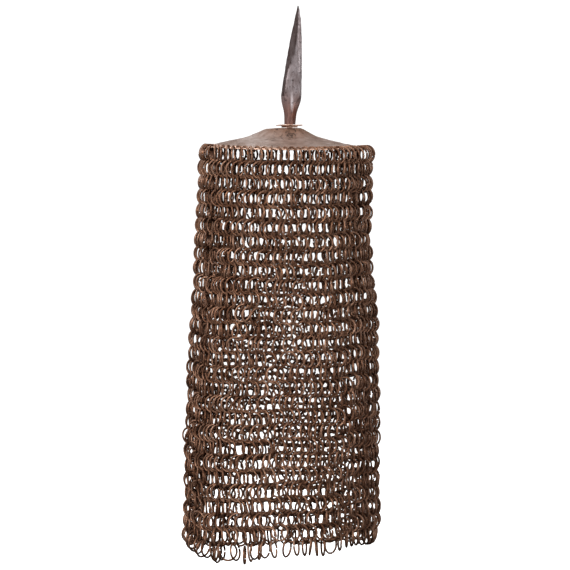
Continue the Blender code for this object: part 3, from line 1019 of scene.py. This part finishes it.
def plate_material():
    """Beaten iron sheet: grey-brown skin, a painted tan highlight near the rim, brown round the washer, a
    painted grey sheen on the left flank, a painted brown shadow down the front, dirt and specks.
    """
    material, tree, shader, coordinates = new_material("plate_iron_beaten", PLATE_METALLIC)
    x, y = axes_of(tree, coordinates)[:2]
    squares = calculate(tree, "ADD", multiply(tree, x, x), multiply(tree, y, y))
    across = calculate(tree, "SQRT", squares)
    patches = noise_of(tree, coordinates, PLATE_PATCHES)
    mottle = noise_of(tree, coordinates, PLATE_MOTTLE)
    grain = noise_of(tree, coordinates, PLATE_GRAIN)
    streaks = noise_of(tree, ring_vector(tree, across, x, y), PLATE_STREAKS)
    base = weigh(tree, (patches, streaks), PLATE_SHARES)
    colour = ramp(tree, base, PLATE_COLOURS)
    # Painted highlight: pale tan near the rim.
    rim_highlight = multiply(tree, spread(tree, across, RIM_HIGHLIGHT_SPAN), spread(tree, mottle, RIM_HIGHLIGHT_MOTTLE))
    colour = mix(tree, rim_highlight, colour, RIM_PAINTED_HIGHLIGHT)
    at_centre = multiply(tree, spread(tree, across, CENTRE_SPAN), spread(tree, patches, CENTRE_PATCHES))
    colour = mix(tree, at_centre, colour, CENTRE_BROWN)
    # Painted reflection: a pale grey sheen on the left flank in front.
    painted_sheen = multiply(tree, near_line(tree, x, PAINTED_SHEEN_LINE), spread(tree, y, PAINTED_SHEEN_FRONT))
    painted_sheen = multiply(tree, painted_sheen, spread(tree, streaks, PAINTED_SHEEN_STREAKS), spread(tree, across, PAINTED_SHEEN_END))
    colour = mix(tree, painted_sheen, colour, PAINTED_SHEEN_GREY)
    # Painted shadow: darker brown down the front of the plate near the middle.
    painted_shadow = multiply(tree, near_line(tree, x, PAINTED_SHADOW_LINE), spread(tree, y, PAINTED_SHADOW_FRONT))
    painted_shadow = multiply(tree, painted_shadow, spread(tree, patches, PAINTED_SHADOW_PATCHES))
    colour = mix(tree, painted_shadow, colour, PAINTED_SHADOW_BROWN)
    dirty = multiply(tree, near_line(tree, x, DIRT_LINE), near_line(tree, across, DIRT_RING))
    dirty = multiply(tree, dirty, spread(tree, y, DIRT_FRONT), DIRT_SHARE)
    dirt = noise_of(tree, drawn_out(tree, coordinates, DIRT_DRAWN), DIRT_NOISE)
    dirt = spread(tree, calculate(tree, "ADD", dirt, dirty), DIRT_SPAN)
    colour = mix(tree, dirt, colour, DIRT_BLACK)
    colour = mix(tree, spread(tree, mottle, SPECK_SPAN), colour, SPECK_BLACK)
    rough = spread(tree, base, PLATE_ROUGHNESS)
    link_looks(tree, shader, colour, rough, PLATE_RELIEF, (mottle, streaks, grain))
    return material


def ring_vector(tree, across, x, y):
    """Coordinates that run slowly round the plate and fast from its centre to its rim."""
    turn = calculate(tree, "ARCTAN2", x, y)
    bend_x = multiply(tree, calculate(tree, "SINE", turn), STREAK_TURN)
    bend_y = multiply(tree, calculate(tree, "COSINE", turn), STREAK_TURN)
    far = multiply(tree, across, STREAK_REACH)
    return add_node(tree, "ShaderNodeCombineXYZ", {0: bend_x, 1: bend_y, 2: far}).outputs[0]


COLLAR_METALLIC = 0.35
COLLAR_PATCHES = NoiseKind(160.0, 5.0, 0.62, 0.6)
COLLAR_MOTTLE = NoiseKind(620.0, 5.0, 0.66, 0.0)
COLLAR_SHARES = (0.6, 0.4)
# Painted light: these colours are paler than the iron's own, so that the hub, shaded by the flange and the
# spike, looks lit.
COLLAR_PAINTED_LIGHT_COLOURS = (
    (0.34, (0.200, 0.118, 0.082)),
    (0.47, (0.425, 0.262, 0.192)),
    (0.58, (0.590, 0.400, 0.315)),
    (0.72, (0.700, 0.530, 0.450)),
)
COLLAR_ROUGHNESS = Span(0.35, 0.65, 0.70, 0.48)
COLLAR_RELIEF = Relief(0.3 * MM, 0.6, (0.6, 0.4))


def collar_material():
    """The washer: thin iron, painted a pale warm tan that stands in for light on its hub, which the flange
    and the spike shade, with dark rust in patches.
    """
    material, tree, shader, coordinates = new_material("collar_iron_painted_light", COLLAR_METALLIC)
    patches = noise_of(tree, coordinates, COLLAR_PATCHES)
    mottle = noise_of(tree, coordinates, COLLAR_MOTTLE)
    base = weigh(tree, (patches, mottle), COLLAR_SHARES)
    colour = ramp(tree, base, COLLAR_PAINTED_LIGHT_COLOURS)
    rough = spread(tree, base, COLLAR_ROUGHNESS)
    link_looks(tree, shader, colour, rough, COLLAR_RELIEF, (mottle, patches))
    return material


SPIKE_METALLIC = 0.55
SPIKE_DRAWN = (1.0, 1.0, 0.3)
SPIKE_PATCHES = NoiseKind(110.0, 5.0, 0.62, 0.5)
SPIKE_MOTTLE = NoiseKind(420.0, 5.0, 0.60, 0.0)
SPIKE_GRAIN = NoiseKind(1800.0, 3.0, 0.6, 0.0)
SPIKE_SHARES = (0.6, 0.4)
SPIKE_COLOURS = (
    (0.34, (0.066, 0.050, 0.050)),
    (0.47, (0.160, 0.132, 0.134)),
    (0.58, (0.255, 0.224, 0.232)),
    (0.70, (0.400, 0.370, 0.380)),
)
NECK_BROWN = (0.105, 0.042, 0.028, 1.0)
NECK_SPAN = Span(22 * MM, 42 * MM, 1.0, 0.10)
NECK_PATCHES = Span(0.35, 0.60, 0.65, 1.0)
# Painted highlight: a pale grey spot on the neck's front, where it meets the blade.
NECK_PAINTED_HIGHLIGHT = (0.50, 0.45, 0.46, 1.0)
NECK_HIGHLIGHT_LINE = Line(5.2 * MM, 1.9 * MM)
NECK_HIGHLIGHT_HEIGHT = Line(30 * MM, 12 * MM)
# Painted highlight: pale grey along the blade's right edge.
EDGE_PAINTED_HIGHLIGHT = (0.52, 0.46, 0.47, 1.0)
EDGE_HIGHLIGHT_SHARE = 0.7
# Painted shade: dark brown on the left bevel and, near the tip, the blade's left half, in patches.
BEVEL_PAINTED_SHADE = (0.030, 0.018, 0.016, 1.0)
BEVEL_PATCHES = Span(0.30, 0.55, 1.0, 0.82)
BEVEL_ROUGHNESS = 0.85
PIT_BROWN = (0.030, 0.019, 0.017, 1.0)
PIT_NOISE = NoiseKind(380.0, 3.0, 0.5, 0.0)
PIT_SPAN = Span(0.33, 0.40, 0.75, 0.0)
SPIKE_ROUGHNESS = Span(0.35, 0.65, 0.62, 0.38)
SPIKE_RELIEF = Relief(0.3 * MM, 0.35, (0.6, 0.4))


def spike_material():
    """Forged iron: dark grey-purple patina, pitted, rusty at the neck, with painted highlights on the neck's
    front and along the right edge, and painted shade on the left bevel.
    """
    material, tree, shader, coordinates = new_material("spike_iron_forged", SPIKE_METALLIC)
    x, _, z = axes_of(tree, coordinates)
    drawn = drawn_out(tree, coordinates, SPIKE_DRAWN)
    patches = noise_of(tree, drawn, SPIKE_PATCHES)
    mottle = noise_of(tree, drawn, SPIKE_MOTTLE)
    grain = noise_of(tree, coordinates, SPIKE_GRAIN)
    base = weigh(tree, (patches, mottle), SPIKE_SHARES)
    colour = ramp(tree, base, SPIKE_COLOURS)
    at_neck = multiply(tree, spread(tree, z, NECK_SPAN), spread(tree, patches, NECK_PATCHES))
    colour = mix(tree, at_neck, colour, NECK_BROWN)
    # Painted highlight: pale grey on the neck's front, where it meets the blade.
    worn = multiply(tree, near_line(tree, x, NECK_HIGHLIGHT_LINE), near_line(tree, z, NECK_HIGHLIGHT_HEIGHT))
    colour = mix(tree, worn, colour, NECK_PAINTED_HIGHLIGHT)
    # Painted highlight: pale grey along the blade's right edge.
    edge = multiply(tree, attribute_of(tree, "edge_painted_highlight"), EDGE_HIGHLIGHT_SHARE)
    colour = mix(tree, edge, colour, EDGE_PAINTED_HIGHLIGHT)
    # Painted shade: dark brown on the left bevel and, near the tip, the blade's left half, in patches.
    bevel = multiply(tree, attribute_of(tree, "left_bevel_painted_shade"), spread(tree, patches, BEVEL_PATCHES))
    colour = mix(tree, bevel, colour, BEVEL_PAINTED_SHADE)
    pits = spread(tree, noise_of(tree, coordinates, PIT_NOISE), PIT_SPAN)
    colour = mix(tree, pits, colour, PIT_BROWN)
    rough = spread(tree, base, SPIKE_ROUGHNESS)
    rough = calculate(tree, "MAXIMUM", rough, multiply(tree, bevel, BEVEL_ROUGHNESS))
    link_looks(tree, shader, colour, rough, SPIKE_RELIEF, (mottle, grain))
    return material


def plain_material(name, colour, glow):
    material = bpy.data.materials.new(name)
    material.use_nodes = True
    shader = material.node_tree.nodes["Principled BSDF"]
    shader.inputs["Base Color"].default_value = colour
    shader.inputs["Roughness"].default_value = STAGE_ROUGHNESS
    shader.inputs["Emission Color"].default_value = WHITE
    shader.inputs["Emission Strength"].default_value = glow
    return material


def make_stage():
    """A plain white floor and a white dome behind everything."""
    bpy.ops.mesh.primitive_circle_add(
        vertices=FLOOR_SIDES, radius=FLOOR_RADIUS, fill_type="NGON", location=(0, 0, FLOOR_HEIGHT)
    )
    floor = bpy.context.object
    floor.name = "floor"
    floor.data.materials.append(plain_material("floor_white", FLOOR_COLOUR, FLOOR_GLOW))
    bpy.ops.mesh.primitive_uv_sphere_add(segments=DOME_SEGMENTS, ring_count=DOME_RINGS, radius=DOME_RADIUS)
    dome = bpy.context.object
    dome.name = "backdrop"
    dome.data.materials.append(plain_material("backdrop_white", DOME_COLOUR, DOME_GLOW))
    dome.visible_shadow = False
    for backdrop in (floor, dome):
        backdrop.visible_diffuse = False
        backdrop.visible_glossy = False


def add_light(light):
    data = bpy.data.lights.new(light.name, "AREA")
    data.shape = "DISK"
    data.size = light.size
    data.energy = light.power
    lamp = bpy.data.objects.new(light.name, data)
    lamp.location = light.location
    lamp.rotation_euler = (LIGHT_AIM - Vector(light.location)).to_track_quat("-Z", "Y").to_euler()
    bpy.context.scene.collection.objects.link(lamp)


def light_scene():
    world = bpy.data.worlds.new("studio")
    world.use_nodes = True
    background = world.node_tree.nodes["Background"]
    background.inputs["Color"].default_value = WHITE
    background.inputs["Strength"].default_value = WORLD_STRENGTH
    bpy.context.scene.world = world
    for light in LIGHTS:
        add_light(light)


def make_camera():
    camera_data = bpy.data.cameras.new("camera")
    camera_data.sensor_width = SENSOR_WIDTH
    camera_data.lens = SENSOR_WIDTH * CAMERA_DISTANCE / VIEW_WIDTH
    camera_data.clip_end = VIEW_DEPTH
    camera = bpy.data.objects.new("camera", camera_data)
    camera.location = (CAMERA_X, -CAMERA_DISTANCE, CAMERA_HEIGHT)
    aim = Vector((CAMERA_X, 0.0, AIM_HEIGHT)) - camera.location
    camera.rotation_euler = aim.to_track_quat("-Z", "Y").to_euler()
    bpy.context.scene.collection.objects.link(camera)
    bpy.context.scene.camera = camera


def finish_piece(piece, material, nodes):
    piece.data.materials.append(material)
    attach(piece, "root")
    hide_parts(*nodes)


SIDE_NUDGE = 0.01
MailPiece = namedtuple("MailPiece", "name first_row last_row side node edges")
MAIL_PIECES = (
    MailPiece("mail_rim_row", 1, 1, "all", "rim_rings", ()),
    MailPiece("mail_hem_row", RING_ROWS, RING_ROWS, "all", "hem_rings", ()),
    MailPiece("mail_front_upper", 2, 14, "front", "mail_front", ("mail_rim_row",)),
    MailPiece("mail_front_lower", 15, 27, "front", "mail_front", ("mail_hem_row",)),
    MailPiece("mail_back_upper", 2, 14, "back", "mail_back", ()),
    MailPiece("mail_back_lower", 15, 27, "back", "mail_back", ()),
)


def piece_numbers(first_row, last_row, side):
    """The rings of some rows, of the front half, the back half or all round."""
    numbers = []
    for row in range(first_row, last_row + 1):
        for column in range(RING_COLUMNS):
            angle = 2 * pi * (column + 0.5 * (row % 2) + SIDE_NUDGE) / RING_COLUMNS
            if side == "all" or (cos(angle) > 0) == (side == "front"):
                numbers.append(ring_index(row, column))
    return np.array(numbers)


def make_mail(rings, rng):
    """The net's pieces: the first row, the last row, and the rows between in front and behind."""
    shapes = ring_shapes(rng)
    material = mail_material()
    for entry in MAIL_PIECES:
        numbers = piece_numbers(entry.first_row, entry.last_row, entry.side)
        piece = ring_mesh(entry.name, numbers, rings, shapes)
        finish_piece(piece, material, [entry.node])
        if entry.side == "all":
            continue


def main():
    bpy.context.scene.view_settings.view_transform = "Standard"
    make_camera()
    light_scene()
    make_stage()
    rng = np.random.default_rng(SEED)
    rings = settle_rings(*lay_rings(rng))
    make_mail(rings, rng)
    finish_piece(make_crown_plate(rings), plate_material(), ["crown_plate"])
    finish_piece(make_collar(), collar_material(), ["collar"])
    finish_piece(make_spike(), spike_material(), ["spike"])


main()
